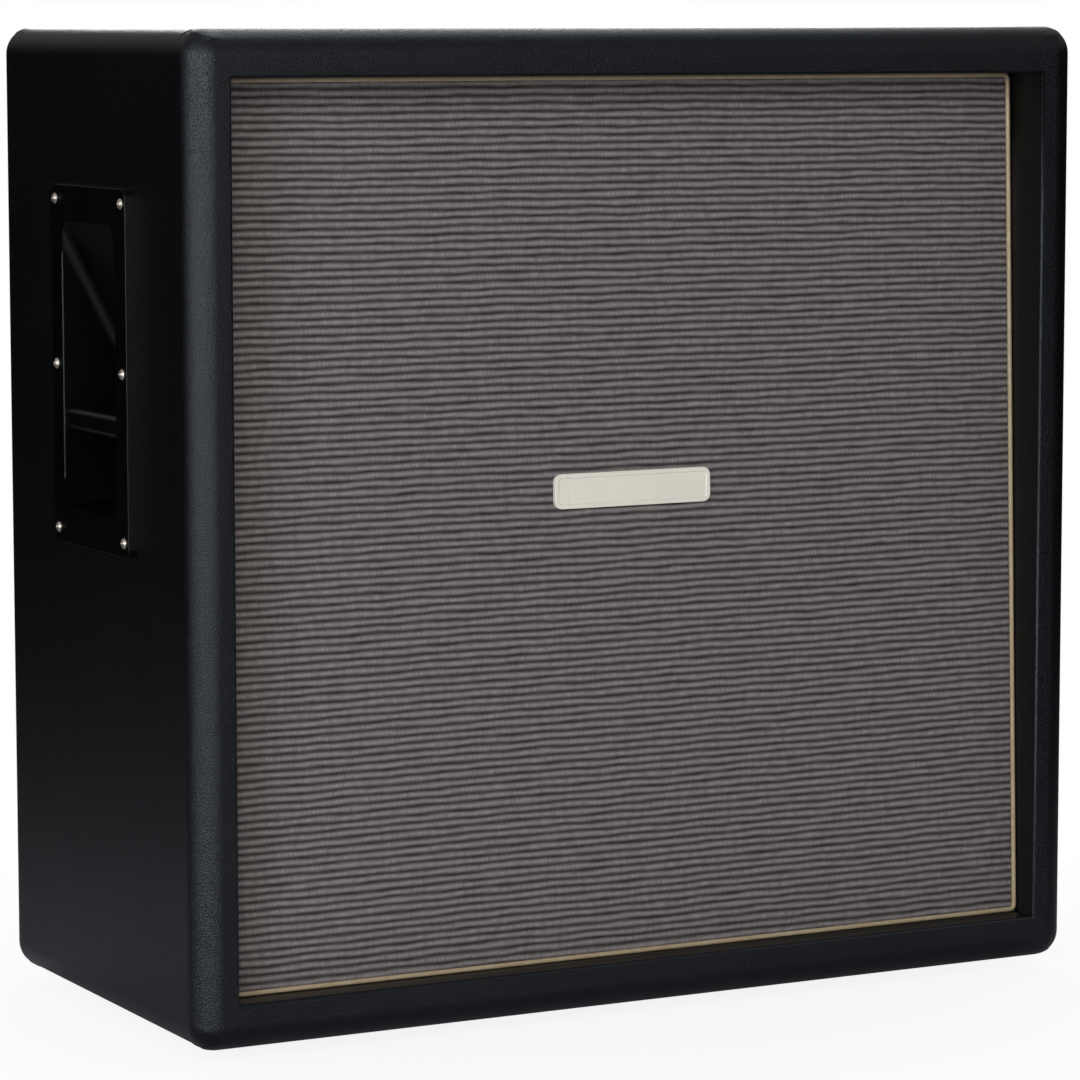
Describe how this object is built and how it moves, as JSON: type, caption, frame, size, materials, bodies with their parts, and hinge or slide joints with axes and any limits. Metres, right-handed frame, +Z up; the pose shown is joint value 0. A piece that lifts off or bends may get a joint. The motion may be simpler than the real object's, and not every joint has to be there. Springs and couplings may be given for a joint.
{
  "type": "guitar speaker cabinet",
  "caption": "Closed-back guitar speaker cabinet with a vinyl-covered box, leaning cloth-covered baffle, recessed side handles, rear jack dish and rubber feet.",
  "frame": {"origin": "on the floor under the middle of the cabinet, midway between front and back", "axes": "+Z up, front faces -Y, +X to the right seen from the front"},
  "size_m": [0.7596, 0.366, 0.735],
  "materials": {
    "vinyl": "fine-grained black covering",
    "plywood": "bare birch plywood",
    "baffle_wood": "plywood painted black",
    "grille_cloth": "woven in grey and black stripes",
    "piping": "satin gold",
    "badge": "plain off-white",
    "handle": "black moulding",
    "nickel": "bright nickel",
    "black_steel": "black screws",
    "zinc": "zinc plated",
    "dish_plastic": "black moulding",
    "jack_plastic": "black moulding",
    "rubber": "black rubber",
    "gasket": "cork composition",
    "chassis_paint": "grey-black enamel on pressed steel",
    "motor_steel": "plated steel",
    "ferrite": "ground ferrite",
    "cone_paper": "pressed paper pulp",
    "surround_cloth": "doped pleated edge",
    "spider_cloth": "resin-stiffened cloth",
    "voice_coil": "former with a copper winding",
    "tag_board": "brown laminate",
    "cable": "black sheathed wire",
    "clip_plastic": "natural nylon"
  },
  "bodies": {
    "cabinet": {"shell_covering": "vinyl", "back_panel_covering": "vinyl", "top_panel": "plywood", "bottom_panel": "plywood", "left_side_panel": "plywood", "right_side_panel": "plywood", "rear_cleats_level": "plywood", "rear_cleats_upright": "plywood", "front_lip_top": "plywood", "front_lip_bottom": "plywood", "front_lip_left": "plywood", "front_lip_right": "plywood", "centre_post": "plywood", "back_panel": "plywood", "baffle_board": "baffle_wood", "grille_cloth": "grille_cloth", "gold_piping": "piping", "blank_badge": "badge", "baffle_screws": "zinc", "back_panel_screws": "black_steel", "jack_dish": "dish_plastic", "jack_socket": "jack_plastic", "jack_nut": "nickel", "jack_dish_screws": "black_steel", "left_handle": "handle", "right_handle": "handle", "handle_screws": "nickel", "rubber_feet": "rubber", "foot_screws": "zinc", "driver_gaskets": "gasket", "driver_top_plates": "motor_steel", "driver_magnets": "ferrite", "driver_pole_plates": "motor_steel", "driver_terminals": "tag_board", "driver_bolts": "zinc", "tee_nuts": "zinc", "speaker_leads": "cable", "jack_cable": "cable", "junction_block": "clip_plastic", "cable_clips": "clip_plastic", "driver_chassis_1": "chassis_paint", "driver_surround_1": "surround_cloth", "driver_spider_1": "spider_cloth", "driver_chassis_2": "chassis_paint", "driver_surround_2": "surround_cloth", "driver_spider_2": "spider_cloth", "driver_chassis_3": "chassis_paint", "driver_surround_3": "surround_cloth", "driver_spider_3": "spider_cloth", "driver_chassis_4": "chassis_paint", "driver_surround_4": "surround_cloth", "driver_spider_4": "spider_cloth"},
    "cone_1": {"driver_cone_1": "cone_paper", "driver_voice_coil_1": "voice_coil"},
    "cone_2": {"driver_cone_2": "cone_paper", "driver_voice_coil_2": "voice_coil"},
    "cone_3": {"driver_cone_3": "cone_paper", "driver_voice_coil_3": "voice_coil"},
    "cone_4": {"driver_cone_4": "cone_paper", "driver_voice_coil_4": "voice_coil"}
  },
  "joints": [
    {"name": "cone_1_travel", "type": "slide", "parent": "cabinet", "child": "cone_1", "axis": [0, -0.9994, 0.0336], "range_m": [-0.003, 0.003], "stiffness_N_per_m": 6000, "deforming": ["driver_surround_1", "driver_spider_1"]},
    {"name": "cone_2_travel", "type": "slide", "parent": "cabinet", "child": "cone_2", "axis": [0, -0.9994, 0.0336], "range_m": [-0.003, 0.003], "stiffness_N_per_m": 6000, "deforming": ["driver_surround_2", "driver_spider_2"]},
    {"name": "cone_3_travel", "type": "slide", "parent": "cabinet", "child": "cone_3", "axis": [0, -0.9994, 0.0336], "range_m": [-0.003, 0.003], "stiffness_N_per_m": 6000, "deforming": ["driver_surround_3", "driver_spider_3"]},
    {"name": "cone_4_travel", "type": "slide", "parent": "cabinet", "child": "cone_4", "axis": [0, -0.9994, 0.0336], "range_m": [-0.003, 0.003], "stiffness_N_per_m": 6000, "deforming": ["driver_surround_4", "driver_spider_4"]}
  ]
}
